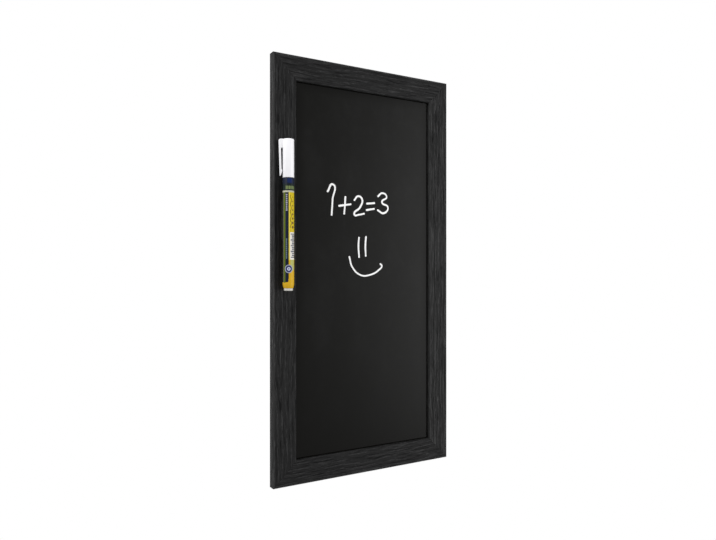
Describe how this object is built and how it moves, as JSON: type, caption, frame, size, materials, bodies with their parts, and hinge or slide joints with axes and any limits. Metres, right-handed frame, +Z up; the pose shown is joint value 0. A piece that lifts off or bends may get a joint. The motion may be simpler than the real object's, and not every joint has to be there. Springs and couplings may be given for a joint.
{
  "type": "chalkboard",
  "caption": "Small portrait wall chalkboard in a black mitred wood frame, with a capped chalk marker held on the left stile by hook-and-loop.",
  "frame": {"origin": "on the wall plane, under the middle notch of the sawtooth hanger, where the wall nail bears", "axes": "+Z up along the board's height, +Y into the wall, +X to the right as seen from the front"},
  "size_m": [0.2, 0.0239, 0.4],
  "materials": {
    "frame_wood": "black stained open-grain wood, satin",
    "chalk_surface": "smooth black chalk lacquer on hardboard",
    "zinc_steel": "zinc plated, dull",
    "black_rubber": "matt",
    "patch_fabric": "black hook-and-loop",
    "printed_plastic": "printed film on a white tube, satin gloss",
    "white_plastic": "moulded, satin gloss",
    "seal_rubber": "matt",
    "nib_felt": "pressed fibre soaked with white ink",
    "bright_steel": "polished"
  },
  "bodies": {
    "board": {"stile_left": "frame_wood", "stile_right": "frame_wood", "rail_top": "frame_wood", "rail_bottom": "frame_wood", "writing_panel": "chalk_surface", "v_nail_top_left_outer": "zinc_steel", "v_nail_top_left_inner": "zinc_steel", "v_nail_top_right_outer": "zinc_steel", "v_nail_top_right_inner": "zinc_steel", "v_nail_bottom_left_outer": "zinc_steel", "v_nail_bottom_left_inner": "zinc_steel", "v_nail_bottom_right_outer": "zinc_steel", "v_nail_bottom_right_inner": "zinc_steel", "retaining_point_left_1": "zinc_steel", "retaining_point_left_2": "zinc_steel", "retaining_point_left_3": "zinc_steel", "retaining_point_right_1": "zinc_steel", "retaining_point_right_2": "zinc_steel", "retaining_point_right_3": "zinc_steel", "retaining_point_top_1": "zinc_steel", "retaining_point_top_2": "zinc_steel", "retaining_point_bottom_1": "zinc_steel", "retaining_point_bottom_2": "zinc_steel", "sawtooth_hanger": "zinc_steel", "hanger_nail_left": "zinc_steel", "hanger_nail_right": "zinc_steel", "wall_bumper_left": "black_rubber", "wall_bumper_right": "black_rubber", "loop_patch": "patch_fabric"},
    "marker": {"marker_barrel": "printed_plastic", "end_plug": "white_plastic", "nib_holder": "white_plastic", "valve_cage": "white_plastic", "valve_seat": "seal_rubber", "valve_spring": "bright_steel", "hook_patch": "patch_fabric"},
    "cap": {"marker_cap": "white_plastic"},
    "nib": {"writing_nib": "nib_felt", "valve_stem": "white_plastic"},
    "ball": {"mixing_ball": "bright_steel"}
  },
  "joints": [
    {"name": "marker_lift", "type": "slide", "parent": "board", "child": "marker", "axis": [0, -1, 0], "range_m": [0, 0.06]},
    {"name": "cap_pull", "type": "slide", "parent": "marker", "child": "cap", "axis": [0, 0, 1], "range_m": [0, 0.045]},
    {"name": "nib_press", "type": "slide", "parent": "marker", "child": "nib", "axis": [0, 0, -1], "range_m": [0, 0.0025], "stiffness_N_per_m": 500, "springref_m": -0.002, "deforming": ["valve_spring"]},
    {"name": "ball_rattle", "type": "slide", "parent": "marker", "child": "ball", "axis": [0, 0, 1], "range_m": [0, 0.081]}
  ]
}
